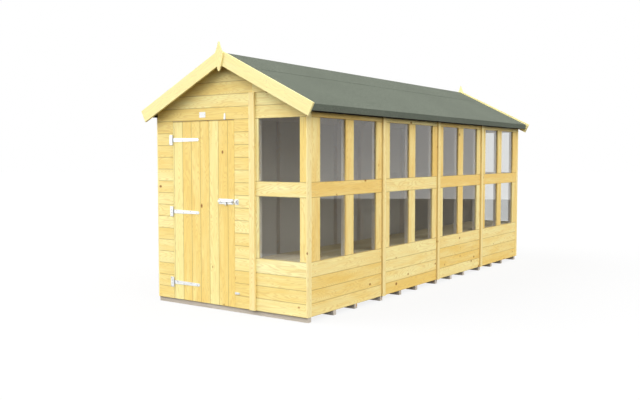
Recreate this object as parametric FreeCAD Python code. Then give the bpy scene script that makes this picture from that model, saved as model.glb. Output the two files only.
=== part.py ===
import FreeCAD, Part
import math
import os
from FreeCAD import Vector

# Potting shed of framed wall panels. Millimetres, +Z up, the door end faces -Y and the glazed
# long wall faces +X. The origin is on the ground, under the middle of the shed.

# Plan
wall_width = 1778.0            # across the gable ends, over the corner strips
panel_width = 1190.0           # one side panel, and the door panel of a gable end
panels_per_side = 4
panel_gap = 1.0                # between neighbouring panels

# Timber stock
board_thickness = 12.0         # shiplap cladding, and the trim of the windows
board_cover = 112.0            # face of one board that shows
board_lap = 8.0                # tongue behind the board above
board_chamfer = 2.0            # upper edge of the face, so that joints show as a line
board_clearance = 0.3          # tongue in rebate
frame_depth = 48.0
frame_width = 32.0
strip_width = 60.0             # over the panel joints
strip_thickness = 19.0
corner_strip_thickness = 12.0
corner_strip_proud = 3.0       # of the side cladding

# Floor
bearer_height = 44.0
bearer_width = 44.0
bearer_setback = 13.0          # first bearer, behind the gable face
bearer_second = 379.0          # second and third bearer of each bay, from the first
bearer_third = 728.0
floor_thickness = 12.0
floor_clearance = 2.0          # floor edge to the back of the cladding

# Wall levels
boards_below_sill = 3
rail_height = 128.0            # sill, middle and head rails of a window
pane_height = 544.0            # glass that shows
top_rail_height = 48.0         # of the side walls, and the header of the door
boards_above_head = 2          # in a gable end, up to the top of its panels
solid_panel_studs = 3

# Windows
stile_width = 128.0
mullion_width = 130.0
end_stile_width = 65.25        # stiles of the windows in the gable ends
pane_lap = 12.0                # glass behind the trim
pane_thickness = 4.0
pane_clearance = 0.5

# Door
door_width = 763.0
door_hinge_board = 127.0       # first board, on the hinge side
door_latch_board = 76.0        # last board
door_gap = 3.0                 # round the door, in the cladding
door_floor_gap = 2.0
door_stop = 12.0               # posts and header behind the door's edge
door_clearance = 0.5           # door boards to the stops
ledge_height = 95.0
ledge_thickness = 20.0
ledge_end_gap = 14.0           # ledge ends to the posts
brace_width = 70.0

# Bench along the glazed wall
bench_rows = 5                 # boards across its depth
bench_drop = 10.0              # top below the sill of the windows
bench_board_thickness = 20.0
bench_board_gap = 4.0
bench_end_gap = 2.0            # to the frames of the gable ends
bench_rail_height = 44.0
bench_leg = 44.0

# Roof
roof_pitch = 26.5              # degrees
eave_reach = 78.0              # boards past the side cladding
verge_reach = 66.0             # boards past the gable face
roof_board_thickness = 12.0
roof_clearance = 2.0           # gable cladding and ties to the boards
felt_thickness = 2.0
eave_drop = 57.0               # felt turned down at the eaves
ridge_felt_reach = 345.0       # ridge course, down each slope
fascia_thickness = 15.0
rafter_thickness = 32.0
truss_depth = 70.0
batten_depth = 44.0
tie_height = 44.0
tie_rise = 150.0               # tie above the top of the side walls

# Bargeboards and finials
barge_width = 116.0
barge_thickness = 20.0
barge_rise = 20.0              # above the ridge felt
barge_reach = 44.0             # past the felt at the eaves
finial_thickness = 12.0
finial_width = 96.0
finial_up = 68.0               # tip above the bargeboards
finial_shoulder = 35.0         # widest place, below the top of the bargeboards
finial_down = 188.0            # lower tip, below the top of the bargeboards
finial_tip = 5.0               # half width of both tips
finial_hollow = 5.0            # upper edges curve in by this
finial_swell = 7.0             # lower edges curve out by this

# T-hinges
hinge_plate = 2.5
hinge_foot_offset = 157.0      # lowest hinge, above the door's lower edge
hinge_head_offset = 171.0      # highest hinge, below the door's upper edge
knuckle_radius = 5.0
knuckle_off_face = 0.3
knuckle_gap = 0.5
pin_radius = 2.5
pin_clearance = 0.05
leaf_height = 95.0
leaf_width = 38.0
strap_length = 335.0           # from the pin
strap_root = 36.0
strap_tip = 28.0

# Sliding bolt
bolt_level = 948.0             # above the foot of the door
bolt_plate_length = 181.0
bolt_plate_height = 50.0
bolt_plate_thickness = 2.0
bolt_plate_inset = 8.0         # from the door's latch edge
bolt_corner = 5.0              # cut off the corners of the plates and the bar's tab
bar_radius = 6.0
bar_clearance = 0.3
bar_chamfer = 1.5              # nose of the bar
bar_inset = 5.0                # nose of the drawn bar, behind the end of the plate
bar_tail = 2.0                 # past the other end of the plate
guide_wall = 3.0
guide_corner = 4.0             # cut off the corners of the guides
guide_length = 15.0
guide_inset = 14.0             # guides from the ends of the plate
tab_width = 16.0
tab_thickness = 4.0
tab_drop = 36.0
tab_hole_radius = 4.0
keep_width = 48.0
keep_inset = 8.0               # keep's guide from its door end

# Turn buttons
button_length = 56.0
button_half_width = 11.0       # round the screw
button_tip_half_width = 7.0
button_corner = 4.0            # cut off the corners
button_thickness = 4.0
button_off_face = 0.6
button_door_gap = 4.0          # at rest, clear of the door's edge
button_level = 130.0           # side button, above the foot of the door
button_latch_offset = 106.0    # top button, from the door's latch edge
screw_radius = 2.5
screw_clearance = 0.05
screw_head_radius = 5.5        # to the corners of the hexagon
screw_head_height = 3.0

# Worked out from the sizes above
pitch = math.radians(roof_pitch)
slope = math.tan(pitch)
panel_thickness = board_thickness + frame_depth
end_face = panels_per_side * panel_width / 2 + panel_thickness
side_face = wall_width / 2 - corner_strip_proud
side_inner = side_face - panel_thickness
end_half_width = wall_width / 2 - corner_strip_thickness
wall_base = bearer_height
sill_boards_top = boards_below_sill * board_cover
sill_level = sill_boards_top + rail_height
middle_level = sill_level + pane_height
upper_sill_level = middle_level + rail_height
head_level = upper_sill_level + pane_height
wall_top = head_level + rail_height
end_panel_top = head_level + boards_above_head * board_cover
joint_x = panel_width - wall_width / 2
door_mid = (joint_x - wall_width / 2) / 2
door_left = door_mid - door_width / 2
door_right = door_mid + door_width / 2
door_top = head_level - door_gap
door_board_thickness = board_thickness - door_clearance
ridge_under = wall_top + side_face * slope
ridge_boards = ridge_under + roof_board_thickness / math.cos(pitch)
felt_rise = felt_thickness / math.cos(pitch)
ridge_felt_top = ridge_boards + 2 * felt_rise
eave_x = side_face + eave_reach
slope_length = eave_x / math.cos(pitch)
verge_y = end_face + verge_reach
barge_apex = ridge_felt_top + barge_rise
hinge_x = door_left - door_gap / 2
hinge_depth = -(knuckle_radius + knuckle_off_face)


def on_side(side):
    """Points on a long wall: along it, depth behind its face, height above the wall base."""
    return lambda along, depth, height: Vector(side * (side_face - depth), along, wall_base + height)


def on_end(end):
    """Points on a gable end: across it, depth behind its face, height above the wall base."""
    return lambda along, depth, height: Vector(along, end * (end_face - depth), wall_base + height)


def on_roof(side):
    """Points on a slope: along the ridge, depth below the boards' top, height up from the eave."""
    def place(along, depth, height):
        run = slope_length - height
        x = run * math.cos(pitch) - depth * math.sin(pitch)
        z = wall_base + ridge_boards - run * math.sin(pitch) - depth * math.cos(pitch)
        return Vector(side * x, along, z)
    return place


def on_floor(along, depth, height):
    """Points on the floor: along the shed, depth below its top, and across it."""
    return Vector(height, along, wall_base + floor_thickness - depth)


def across_at(y):
    """Points on a plane across the shed, with depth towards the back."""
    return lambda along, depth, height: Vector(along, y + depth, wall_base + height)


def upright(place):
    """The same wall with length and height changed over, for boards that stand on end."""
    return lambda along, depth, height: place(height, depth, along)


def prism(points, travel):
    """A flat outline pushed along a vector."""
    return Part.Face(Part.makePolygon(points + points[:1])).extrude(travel)


def bar(place, start, end, section):
    """A length of timber with a section given as (depth, height) points."""
    points = [place(start, depth, height) for depth, height in section]
    return prism(points, place(end, 0, 0) - place(start, 0, 0))


def slab(place, outline, front, back):
    """A flat piece with an outline given as (along, height) points."""
    points = [place(along, front, height) for along, height in outline]
    return prism(points, place(0, back, 0) - place(0, front, 0))


def block(place, start, end, front, back, low, high):
    """A square-cut piece."""
    return slab(place, [(start, low), (end, low), (end, high), (start, high)], front, back)


def shiplap(place, start, end, low, cover, tongue=True, thickness=board_thickness):
    """One shiplap board: a rebate behind its lower edge, a tongue behind the next board."""
    half = thickness / 2
    high = low + cover
    section = [(0, low), (0, high - board_chamfer), (board_chamfer, high)]
    if tongue:
        section += [(half, high), (half, high + board_lap), (thickness, high + board_lap)]
    else:
        section += [(thickness, high)]
    rebate = low + board_lap + board_clearance
    section += [(thickness, rebate), (half - board_clearance, rebate), (half - board_clearance, low)]
    return bar(place, start, end, section)


def rows(low, high):
    """Board rows from low to high: full boards, and a last one ripped to fill the rest."""
    count = max(1, round((high - low) / board_cover))
    levels = [low + board_cover * row for row in range(count)]
    return [(level, board_cover) for level in levels[:-1]] + [(levels[-1], high - levels[-1])]


def boarding(place, start, end, low, high, closed=True, thickness=board_thickness):
    """Rows of shiplap; closed boarding has no tongue above its last row."""
    levels = rows(low, high)
    boards = []
    for level, cover in levels:
        tongue = level < levels[-1][0] or not closed
        boards.append(shiplap(place, start, end, level, cover, tongue, thickness))
    return boards


def roof_under(x):
    """Height of the underside of the roof boards."""
    return ridge_under - slope * abs(x)


def end_frame_top(x):
    """Height of the underside of an end panel's top rails."""
    return min(end_panel_top - frame_width, roof_under(x) - frame_width / math.cos(pitch))


def under_roof(end, boards):
    """Gable boards cut to the slope of the roof."""
    ridge = ridge_under - roof_clearance / math.cos(pitch)
    eave = ridge - slope * end_half_width
    outline = [(-end_half_width, 0), (end_half_width, 0), (end_half_width, eave), (0, ridge)]
    outline.append((-end_half_width, eave))
    cutter = slab(on_end(end), outline, 0, board_thickness)
    return [board.common(cutter).Solids[0] for board in boards]


def export(name, solids):
    """One file for each named piece, or group of like pieces."""
    shape = solids[0] if len(solids) == 1 else Part.makeCompound(solids)
    shape.exportStep("parts/" + name + ".step")


def floor():
    bearers = []
    starts = []
    for bay in range(panels_per_side):
        starts += [bay * panel_width + offset for offset in (0, bearer_second, bearer_third)]
    starts.append(panels_per_side * panel_width)
    for start in starts:
        front = bearer_setback + start
        back = front + bearer_width
        bearers.append(block(on_end(-1), -side_face, side_face, front, back, -bearer_height, 0))
    export("floor_bearers", bearers)

    half_width = side_face - board_thickness - floor_clearance
    reach = end_face - board_thickness - floor_clearance
    boards = boarding(on_floor, -reach, reach, -half_width, half_width, thickness=floor_thickness)
    export("floor_boards", boards)


def side_top_rail(place, start, end):
    """Top rail of a side wall, bevelled to the roof."""
    low = wall_top - top_rail_height
    section = [(board_thickness, low), (board_thickness, roof_under(side_face - board_thickness))]
    section += [(panel_thickness, roof_under(side_inner)), (panel_thickness, low)]
    return bar(place, start, end, section)


def uprights(place, starts, width, low, high):
    """Studs of one frame, between a low and a high rail."""
    return [block(place, start, start + width, board_thickness, panel_thickness, low, high)
            for start in starts]


def side_panel_span(number):
    start = (number - 1 - panels_per_side / 2) * panel_width
    return start + panel_gap / 2, start + panel_width - panel_gap / 2


def left_panel(number):
    place = on_side(-1)
    start, end = side_panel_span(number)
    foot = floor_thickness + frame_width
    pitch_of_studs = (end - start - frame_width) / (solid_panel_studs - 1)
    studs = [start + pitch_of_studs * stud for stud in range(solid_panel_studs)]
    frame = [block(place, start, end, board_thickness, panel_thickness, floor_thickness, foot)]
    frame.append(side_top_rail(place, start, end))
    frame += uprights(place, studs, frame_width, foot, wall_top - top_rail_height)
    export("left_panel_%d_frame" % number, frame)
    export("left_panel_%d_cladding" % number, boarding(place, start, end, 0, wall_top))


def window_rails(place, start, end):
    """Frame rails that the panes stand on."""
    rails = []
    for level in (sill_level, upper_sill_level):
        seat = level - pane_lap
        rails.append(block(place, start, end, board_thickness, panel_thickness, seat - frame_width, seat))
    return rails


def window_trim(place, start, end, openings, head):
    """Face trim of a window panel: rails across the panel, and uprights between them."""
    def face(a, b, low, high):
        return block(place, a, b, 0, board_thickness, low, high)
    trim = [face(start, end, sill_boards_top, sill_level)]
    trim.append(face(start, end, middle_level, upper_sill_level))
    if head:
        trim.append(face(start, end, head_level, wall_top))
    edges = [start] + [edge for opening in openings for edge in opening] + [end]
    for left, right in zip(edges[::2], edges[1::2]):
        trim.append(face(left, right, sill_level, middle_level))
        trim.append(face(left, right, upper_sill_level, head_level))
    return trim


def panes(place, openings):
    """Panes held against the back of the trim, standing on the frame rails."""
    sheets = []
    edge = pane_lap - pane_clearance
    back = board_thickness + pane_thickness
    for left, right in openings:
        for level in (sill_level, upper_sill_level):
            low = level - pane_lap
            high = level + pane_height + edge
            sheets.append(block(place, left - edge, right + edge, board_thickness, back, low, high))
    return sheets


def right_panel(number):
    place = on_side(1)
    start, end = side_panel_span(number)
    foot = floor_thickness + frame_width
    middle = (start + end) / 2
    left_pane = (start + stile_width, middle - mullion_width / 2)
    right_pane = (middle + mullion_width / 2, end - stile_width)
    openings = [left_pane, right_pane]
    frame = [block(place, start, end, board_thickness, panel_thickness, floor_thickness, foot)]
    frame.append(side_top_rail(place, start, end))
    edge_studs = [start, end - frame_width]
    frame += uprights(place, edge_studs, frame_width, foot, wall_top - top_rail_height)
    frame += window_rails(place, start + frame_width, end - frame_width)
    jambs = []
    for left, right in openings:
        jambs += [left - pane_lap - frame_width, right + pane_lap]
    sill, upper_sill = sill_level - pane_lap, upper_sill_level - pane_lap
    frame += uprights(place, jambs, frame_width, foot, sill - frame_width)
    frame += uprights(place, jambs, frame_width, sill, upper_sill - frame_width)
    frame += uprights(place, jambs, frame_width, upper_sill, wall_top - top_rail_height)
    export("right_panel_%d_frame" % number, frame)
    export("right_panel_%d_cladding" % number, boarding(place, start, end, 0, sill_boards_top))
    export("right_panel_%d_window_trim" % number, window_trim(place, start, end, openings, True))
    return panes(place, openings)


def end_top_rails(place, start, end):
    """Top rails of an end panel: level below the gable, sloped where the roof comes lower."""
    corner = (ridge_under - end_panel_top) / slope
    corners = [x for x in (-corner, corner) if start < x < end]
    breaks = [start] + corners + [end]
    rails = []
    for left, right in zip(breaks[:-1], breaks[1:]):
        is_level = abs(left + right) / 2 < corner
        drop = frame_width if is_level else frame_width / math.cos(pitch)
        tops = [(x, min(end_panel_top, roof_under(x))) for x in (left, right)]
        feet = [(x, top - drop) for x, top in reversed(tops)]
        rails.append(slab(place, tops + feet, board_thickness, panel_thickness))
    return rails


def end_post(place, left, right, low):
    """A post of an end panel, up to the top rails."""
    outline = [(left, low), (right, low), (right, end_frame_top(right)), (left, end_frame_top(left))]
    return slab(place, outline, board_thickness, panel_thickness)


def end_panel_frame(place, start, end, post_spans):
    """Foot rail, top rails and posts of an end panel."""
    foot = floor_thickness + frame_width
    frame = [block(place, start, end, board_thickness, panel_thickness, floor_thickness, foot)]
    frame += end_top_rails(place, start, end)
    frame += [end_post(place, left, right, foot) for left, right in post_spans]
    return frame


def stud_span(left):
    return left, left + frame_width


def front_door_panel():
    place = on_end(-1)
    start, end = -end_half_width, joint_x - panel_gap / 2
    left_stop, right_stop = door_left + door_stop, door_right - door_stop
    posts = [stud_span(start), stud_span(left_stop - frame_width)]
    posts += [stud_span(right_stop), stud_span(end - frame_width)]
    frame = end_panel_frame(place, start, end, posts)
    header = door_top - door_stop
    frame.append(block(place, left_stop, right_stop, board_thickness, panel_thickness,
                       header, header + top_rail_height))
    export("front_door_panel_frame", frame)

    boards = boarding(place, start, door_left - door_gap, 0, head_level)
    boards += boarding(place, door_right + door_gap, end, 0, head_level)
    boards += under_roof(-1, boarding(place, start, end, head_level, end_panel_top, closed=False))
    export("front_door_panel_cladding", boards)


def back_solid_panel():
    place = on_end(1)
    start, end = -end_half_width, joint_x - panel_gap / 2
    pitch_of_studs = (end - start - frame_width) / (solid_panel_studs - 1)
    posts = [stud_span(start + pitch_of_studs * stud) for stud in range(solid_panel_studs)]
    export("back_solid_panel_frame", end_panel_frame(place, start, end, posts))
    boards = under_roof(1, boarding(place, start, end, 0, end_panel_top, closed=False))
    export("back_solid_panel_cladding", boards)


def end_window_panel(end_sign, name):
    place = on_end(end_sign)
    start, end = joint_x + panel_gap / 2, end_half_width
    openings = [(start + end_stile_width, end - end_stile_width)]
    post = end_stile_width - pane_lap
    frame = end_panel_frame(place, start, end, [(start, start + post), (end - post, end)])
    frame += window_rails(place, start + post, end - post)
    export(name + "_window_panel_frame", frame)
    boards = boarding(place, start, end, 0, sill_boards_top)
    upper = boarding(place, start, end, head_level, end_panel_top, closed=False)
    boards += under_roof(end_sign, upper)
    export(name + "_window_panel_cladding", boards)
    export(name + "_window_panel_trim", window_trim(place, start, end, openings, False))
    return panes(place, openings)


def gable_frame(end):
    """Sloped rails, foot rail and middle stud of the triangle above the end panels."""
    place = on_end(end)
    drop = frame_width / math.cos(pitch)
    outer = (ridge_under - end_panel_top) / slope
    inner = outer - drop / slope
    upper = inner - frame_width / slope
    foot_top = end_panel_top + frame_width
    half_stud = frame_width / 2
    stud_top = ridge_under - drop
    outlines = []
    for side in (-1, 1):
        outlines.append([(side * outer, end_panel_top), (0, ridge_under),
                         (0, stud_top), (side * inner, end_panel_top)])
    outlines.append([(-inner, end_panel_top), (inner, end_panel_top), (upper, foot_top), (-upper, foot_top)])
    shoulder = stud_top - slope * half_stud
    outlines.append([(-half_stud, foot_top), (half_stud, foot_top), (half_stud, shoulder),
                     (0, stud_top), (-half_stud, shoulder)])
    return [slab(place, outline, board_thickness, panel_thickness) for outline in outlines]


def gables():
    export("gable_frames", gable_frame(-1) + gable_frame(1))
    cladding = []
    for end in (-1, 1):
        boards = boarding(on_end(end), -end_half_width, end_half_width, end_panel_top, ridge_under)
        cladding += under_roof(end, boards)
    export("gable_cladding", cladding)


def cover_strips():
    strips = []
    half = strip_width / 2
    for side in (-1, 1):
        top = roof_under(side_face + strip_thickness) - roof_clearance
        for joint in range(1, panels_per_side):
            middle = (joint - panels_per_side / 2) * panel_width
            strips.append(block(on_side(side), middle - half, middle + half, -strip_thickness, 0, 0, top))
    for end in (-1, 1):
        place = on_end(end)
        strips.append(block(place, joint_x - half, joint_x + half, -strip_thickness, 0, 0, end_panel_top))
        top = roof_under(wall_width / 2) - roof_clearance
        for side in (-1, 1):
            edge = side * end_half_width
            outer = side * wall_width / 2
            strips.append(block(place, edge, outer, 0, panel_thickness, 0, top))
    export("cover_strips", strips)


def bench():
    """Boards at sill level, on a frame that hangs on the glazed wall and stands on legs."""
    place = on_side(1)
    end = end_face - panel_thickness - bench_end_gap
    top = sill_level - bench_drop
    under = top - bench_board_thickness
    low = under - bench_rail_height
    boards = []
    for row in range(bench_rows):
        back = panel_thickness + row * board_cover
        front = back + board_cover - bench_board_gap
        boards.append(block(place, -end, end, back, front, under, top))
    export("bench_boards", boards)

    back = panel_thickness
    front = back + bench_rows * board_cover - bench_board_gap
    ledger = block(place, -end, end, back, back + frame_width, low, under)
    rail = block(place, -end, end, front - frame_width, front, low, under)
    frame = [ledger, rail]
    pitch_of_legs = (2 * end - bench_leg) / panels_per_side
    for leg in range(panels_per_side + 1):
        left = -end + pitch_of_legs * leg
        right = left + bench_leg
        frame.append(block(place, left, right, back + frame_width, front - frame_width, low, under))
        frame.append(block(place, left, right, front - bench_leg, front, floor_thickness, low))
    export("bench_frame", frame)


def rafters(place, depth):
    """A pair of rafters that meet at the ridge and butt against the side walls."""
    drop = depth / math.cos(pitch)
    pair = []
    for side in (-1, 1):
        outline = [(side * side_inner, roof_under(side_inner)), (0, ridge_under)]
        outline += [(0, ridge_under - drop), (side * side_inner, roof_under(side_inner) - drop)]
        pair.append(slab(place, outline, 0, rafter_thickness))
    return pair


def roof_frame():
    trusses = []
    battens = []
    for bay in range(panels_per_side):
        middle = (bay + 0.5 - panels_per_side / 2) * panel_width
        battens += rafters(across_at(middle - rafter_thickness / 2), batten_depth)
    for joint in range(1, panels_per_side):
        place = across_at((joint - panels_per_side / 2) * panel_width - rafter_thickness / 2)
        trusses += rafters(place, truss_depth)
        low = wall_top + tie_rise
        high = low + tie_height
        ridge = ridge_under - roof_clearance / math.cos(pitch)
        wide, narrow = (ridge - low) / slope, (ridge - high) / slope
        outline = [(-wide, low), (wide, low), (narrow, high), (-narrow, high)]
        trusses.append(slab(place, outline, rafter_thickness, 2 * rafter_thickness))
    export("roof_trusses", trusses)
    export("roof_battens", battens)


def roof_skin():
    felt_eave = eave_x + felt_thickness
    fold = ridge_boards + felt_rise - slope * felt_eave
    foot = fold - eave_drop
    boards_eave = ridge_boards - slope * eave_x
    fascia_inner = eave_x - fascia_thickness
    place = across_at(-verge_y)
    length = 2 * verge_y
    ridge_gap = roof_board_thickness * slope
    fascias = []
    for side, name in ((-1, "left"), (1, "right")):
        boards = boarding(on_roof(side), -verge_y, verge_y, 0, slope_length - ridge_gap,
                          thickness=roof_board_thickness)
        export("roof_boards_" + name, boards)
        sheet = [(0, ridge_boards), (eave_x, boards_eave), (eave_x, foot), (felt_eave, foot)]
        sheet += [(felt_eave, fold), (0, ridge_boards + felt_rise)]
        export("roof_felt_" + name, [slab(place, [(side * x, z) for x, z in sheet], 0, length)])
        fascia = [(fascia_inner, foot), (eave_x, foot), (eave_x, roof_under(eave_x))]
        fascia.append((fascia_inner, roof_under(fascia_inner)))
        fascias.append(slab(place, [(side * x, z) for x, z in fascia], 0, length))
    export("eave_fascias", fascias)

    reach = ridge_felt_reach * math.cos(pitch)
    low = ridge_boards + felt_rise
    fall = slope * reach
    ridge = [(-reach, low - fall), (0, low), (reach, low - fall)]
    ridge += [(reach, low - fall + felt_rise), (0, low + felt_rise), (-reach, low - fall + felt_rise)]
    export("roof_felt_ridge", [slab(place, ridge, 0, length)])


def bargeboards():
    boards = []
    tip = eave_x + felt_thickness + barge_reach
    top = barge_apex - slope * tip
    foot_x = tip - barge_width * math.sin(pitch)
    foot = top - barge_width * math.cos(pitch)
    apex_under = barge_apex - barge_width / math.cos(pitch)
    front = -verge_reach - barge_thickness
    for end in (-1, 1):
        for side in (-1, 1):
            outline = [(0, barge_apex), (side * tip, top), (side * foot_x, foot), (0, apex_under)]
            boards.append(slab(on_end(end), outline, front, -verge_reach))
    export("bargeboards", boards)


def arc(place, depth, start, middle, end):
    points = [place(along, depth, height) for along, height in (start, middle, end)]
    return Part.Arc(points[0], points[1], points[2]).toShape()


def line(place, depth, start, end):
    return Part.makeLine(place(start[0], depth, start[1]), place(end[0], depth, end[1]))


def finials():
    """Kite-shaped finials: hollow edges up to the tip, full edges down to the foot."""
    shapes = []
    half = finial_width / 2
    top, foot = barge_apex + finial_up, barge_apex - finial_down
    shoulder = barge_apex - finial_shoulder
    upper = ((half + finial_tip) / 2 - finial_hollow, (top + shoulder) / 2)
    lower = ((half + finial_tip) / 2 + finial_swell, (foot + shoulder) / 2)
    back = -verge_reach - barge_thickness
    front = back - finial_thickness
    for end in (-1, 1):
        place = on_end(end)
        edges = [line(place, front, (-finial_tip, top), (finial_tip, top))]
        edges.append(arc(place, front, (finial_tip, top), upper, (half, shoulder)))
        edges.append(arc(place, front, (half, shoulder), lower, (finial_tip, foot)))
        edges.append(line(place, front, (finial_tip, foot), (-finial_tip, foot)))
        edges.append(arc(place, front, (-finial_tip, foot), (-lower[0], lower[1]), (-half, shoulder)))
        edges.append(arc(place, front, (-half, shoulder), (-upper[0], upper[1]), (-finial_tip, top)))
        travel = place(0, back, 0) - place(0, front, 0)
        shapes.append(Part.Face(Part.Wire(edges)).extrude(travel))
    export("finials", shapes)


def hinge_levels():
    low = door_floor_gap + hinge_foot_offset
    high = door_top - hinge_head_offset
    return low, (low + high) / 2, high


def door():
    place = on_end(-1)
    middle_boards = max(1, round((door_width - door_hinge_board - door_latch_board) / board_cover))
    middle_cover = (door_width - door_hinge_board - door_latch_board) / middle_boards
    covers = [door_hinge_board] + [middle_cover] * middle_boards + [door_latch_board]
    boards = []
    left = door_left
    for count, cover in enumerate(covers):
        tongue = count < len(covers) - 1
        boards.append(shiplap(upright(place), door_floor_gap, door_top, left, cover, tongue,
                              door_board_thickness))
        left += cover
    export("door_boards", boards)

    start = door_left + door_stop + ledge_end_gap
    end = door_right - door_stop - ledge_end_gap
    front, back = door_board_thickness, door_board_thickness + ledge_thickness
    half = ledge_height / 2
    levels = hinge_levels()
    ledges = [block(place, start, end, front, back, level - half, level + half) for level in levels]
    for low, high in zip(levels[:-1], levels[1:]):
        outline = [(start, low + half), (start + brace_width, low + half), (end, high - half)]
        outline.append((end - brace_width, high - half))
        ledges.append(slab(place, outline, front, back))
    export("door_ledges", ledges)


def knuckle(low, high):
    """A rolled hinge eye round the pin, with its bore left open."""
    foot = on_end(-1)(hinge_x, hinge_depth, low)
    return Part.makeCylinder(knuckle_radius, high - low, foot)


def pin_bore(low, high):
    foot = on_end(-1)(hinge_x, hinge_depth, low)
    return Part.makeCylinder(pin_radius + pin_clearance, high - low, foot)


def hinge_strap(level):
    """Tapered strap with a round tip, rolled round the pin at its root."""
    place = on_end(-1)
    root, tip = strap_root / 2, strap_tip / 2
    tip_centre = hinge_x + strap_length - tip
    front = -hinge_plate
    edges = [line(place, front, (hinge_x, level - root), (tip_centre, level - tip))]
    edges.append(arc(place, front, (tip_centre, level - tip), (hinge_x + strap_length, level),
                     (tip_centre, level + tip)))
    edges.append(line(place, front, (tip_centre, level + tip), (hinge_x, level + root)))
    edges.append(line(place, front, (hinge_x, level + root), (hinge_x, level - root)))
    plate = Part.Face(Part.Wire(edges)).extrude(place(0, 0, 0) - place(0, front, 0))
    strap = plate.fuse(knuckle(level - root, level + root))
    return strap.cut(pin_bore(level - root, level + root)).removeSplitter().Solids[0]


def hinge_leaf(level):
    """Fixed leaf with an eye above and below the strap's."""
    place = on_end(-1)
    half = leaf_height / 2
    eye = strap_root / 2 + knuckle_gap
    edge = hinge_x - knuckle_radius - knuckle_off_face - knuckle_gap
    outline = [(edge - leaf_width, level - half), (hinge_x, level - half), (hinge_x, level - eye)]
    outline += [(edge, level - eye), (edge, level + eye), (hinge_x, level + eye), (hinge_x, level + half)]
    outline.append((edge - leaf_width, level + half))
    leaf = slab(place, outline, -hinge_plate, 0)
    leaf = leaf.fuse([knuckle(level - half, level - eye), knuckle(level + eye, level + half)])
    return leaf.cut(pin_bore(level - half, level + half)).removeSplitter().Solids[0]


def hinge_pin(level):
    """Pin through the three eyes, flush with their ends."""
    foot = on_end(-1)(hinge_x, hinge_depth, level - leaf_height / 2)
    return Part.makeCylinder(pin_radius, leaf_height, foot)


def hinges():
    export("hinge_straps", [hinge_strap(level) for level in hinge_levels()])
    export("hinge_leaves", [hinge_leaf(level) for level in hinge_levels()])
    export("hinge_pins", [hinge_pin(level) for level in hinge_levels()])


def bolt_backing(left, right):
    """A plate on the front face with its corners cut off."""
    low, high = bolt_level - bolt_plate_height / 2, bolt_level + bolt_plate_height / 2
    cut = bolt_corner
    outline = [(left + cut, low), (right - cut, low), (right, low + cut), (right, high - cut)]
    outline += [(right - cut, high), (left + cut, high), (left, high - cut), (left, low + cut)]
    return slab(on_end(-1), outline, -bolt_plate_thickness, 0)


def bolt_guide(left):
    """A saddle over the bar, with its bore left open by guide_bore."""
    outer = bar_radius + bar_clearance + guide_wall
    back = -bolt_plate_thickness
    front = back - bar_radius - bar_clearance - outer
    low, high = bolt_level - outer, bolt_level + outer
    cut = guide_corner
    section = [(back, low), (front + cut, low), (front, low + cut), (front, high - cut)]
    section += [(front + cut, high), (back, high)]
    return bar(on_end(-1), left, left + guide_length, section)


def guide_bore(left):
    centre = -bolt_plate_thickness - bar_radius - bar_clearance
    foot = on_end(-1)(left, centre, bolt_level)
    return Part.makeCylinder(bar_radius + bar_clearance, guide_length, foot, Vector(1, 0, 0))


def bolt():
    place = on_end(-1)
    plate_end = door_right - bolt_plate_inset
    plate_start = plate_end - bolt_plate_length
    guides = [plate_start + guide_inset, plate_end - guide_inset - guide_length]
    plate = bolt_backing(plate_start, plate_end)
    for left in guides:
        plate = plate.fuse(bolt_guide(left)).cut(guide_bore(left))
    export("bolt_plate", [plate.removeSplitter().Solids[0]])

    centre = -bolt_plate_thickness - bar_radius - bar_clearance
    nose = plate_end - bar_inset
    tail = plate_start - bar_tail
    rod = Part.makeCylinder(bar_radius, nose - tail, place(tail, centre, bolt_level), Vector(1, 0, 0))
    tab_middle = (plate_start + plate_end) / 2
    nose_edges = [edge for edge in rod.Edges if edge.Closed and edge.CenterOfMass.x > tab_middle]
    rod = rod.makeChamfer(bar_chamfer, nose_edges)
    left, right = tab_middle - tab_width / 2, tab_middle + tab_width / 2
    tab_front = centre - tab_thickness / 2
    foot = bolt_level - tab_drop
    outline = [(left, bolt_level), (right, bolt_level), (right, foot + bolt_corner)]
    outline += [(right - bolt_corner, foot), (left + bolt_corner, foot), (left, foot + bolt_corner)]
    tab = slab(place, outline, tab_front, tab_front + tab_thickness)
    through = place(0, tab_front + tab_thickness, 0) - place(0, tab_front, 0)
    hole_centre = place(tab_middle, tab_front, foot + tab_width / 2)
    hole = Part.makeCylinder(tab_hole_radius, tab_thickness, hole_centre, through)
    export("bolt_bar", [rod.fuse(tab.cut(hole)).removeSplitter().Solids[0]])

    keep_start = door_right + door_gap
    left = keep_start + keep_inset
    keep = bolt_backing(keep_start, keep_start + keep_width).fuse(bolt_guide(left)).cut(guide_bore(left))
    export("bolt_keep", [keep.removeSplitter().Solids[0]])


def button_shape(pivot, direction):
    """A turn button lying along a direction, tapered from its head to its tip."""
    place = on_end(-1)
    aside = (direction[1], -direction[0])
    head, tip = button_half_width, button_tip_half_width
    reach = button_length - head
    cut = button_corner
    half_outline = [(-head, head - cut), (cut - head, head), (reach - cut, tip), (reach, tip - cut)]
    outline = half_outline + [(forward, -side) for forward, side in reversed(half_outline)]
    points = [(pivot[0] + direction[0] * forward + aside[0] * side,
               pivot[1] + direction[1] * forward + aside[1] * side) for forward, side in outline]
    back = -button_off_face
    front = back - button_thickness
    through = place(0, back, 0) - place(0, front, 0)
    bore = Part.makeCylinder(screw_radius + screw_clearance, button_thickness,
                             place(pivot[0], front, pivot[1]), through)
    return slab(place, points, front, back).cut(bore)


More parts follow.
